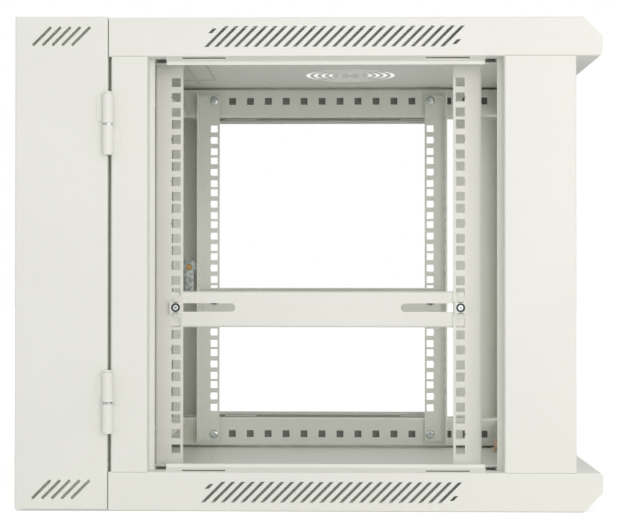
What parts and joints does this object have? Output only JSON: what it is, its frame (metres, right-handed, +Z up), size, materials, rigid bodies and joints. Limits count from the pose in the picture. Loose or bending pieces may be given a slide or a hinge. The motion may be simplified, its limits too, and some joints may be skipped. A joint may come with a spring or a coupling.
{
  "type": "two-section wall rack cabinet",
  "caption": "Wall rack cabinet in two hinged sections, with slanted vents, square-hole rails on depth bars and cross bars; door and side panels off.",
  "frame": {"origin": "middle of the main section's underside", "axes": "+X from the wall to the front, +Z up, -Y the hinge side"},
  "size_m": [0.598, 0.6128, 0.504],
  "materials": {
    "powder_coat": "light grey fine-textured powder coat",
    "zinc_plate": "bright blue-white zinc plate",
    "brass": "plain turned brass"
  },
  "bodies": {
    "wall_section": {"lower_hinge_wall_knuckle": "powder_coat", "upper_hinge_wall_knuckle": "powder_coat", "wall_back_plate": "powder_coat", "wall_cap_bottom": "powder_coat", "wall_cap_top": "powder_coat", "wall_side_far": "powder_coat", "wall_side_near": "powder_coat"},
    "main_section": {"bottom_tray": "powder_coat", "cross_bar_cage_nuts": "zinc_plate", "cross_bar_cup_washers": "zinc_plate", "cross_bar_far": "powder_coat", "cross_bar_near": "powder_coat", "cross_bar_screws": "zinc_plate", "depth_bar_bottom_far": "powder_coat", "depth_bar_bottom_near": "powder_coat", "depth_bar_top_far": "powder_coat", "depth_bar_top_near": "powder_coat", "earth_nut": "brass", "earth_stud": "zinc_plate", "earth_washer": "zinc_plate", "front_post_far": "powder_coat", "front_post_near": "powder_coat", "lock_housing": "zinc_plate", "lock_nut": "zinc_plate", "lower_hinge_pin": "powder_coat", "lower_hinge_post_knuckle": "powder_coat", "lower_hinge_washer": "zinc_plate", "rail_cage_nuts": "zinc_plate", "rail_front_far": "powder_coat", "rail_front_near": "powder_coat", "rail_rear_far": "powder_coat", "rail_rear_near": "powder_coat", "rail_screws": "zinc_plate", "rear_post_far": "powder_coat", "rear_post_near": "powder_coat", "top_tray": "powder_coat", "upper_hinge_pin": "powder_coat", "upper_hinge_post_knuckle": "powder_coat", "upper_hinge_washer": "zinc_plate"},
    "lock_core": {"lock_cam": "zinc_plate", "lock_cam_screw": "brass", "lock_plug": "zinc_plate"}
  },
  "joints": [
    {"name": "section_hinge", "type": "hinge", "parent": "wall_section", "child": "main_section", "pos_m": [-0.251, -0.3055, 0.252], "axis": [0, 0, -1], "range_deg": [0, 100]},
    {"name": "lock_turn", "type": "hinge", "parent": "main_section", "child": "lock_core", "pos_m": [-0.228, 0.3, 0.252], "axis": [0, 1, 0], "range_deg": [0, 90]}
  ]
}
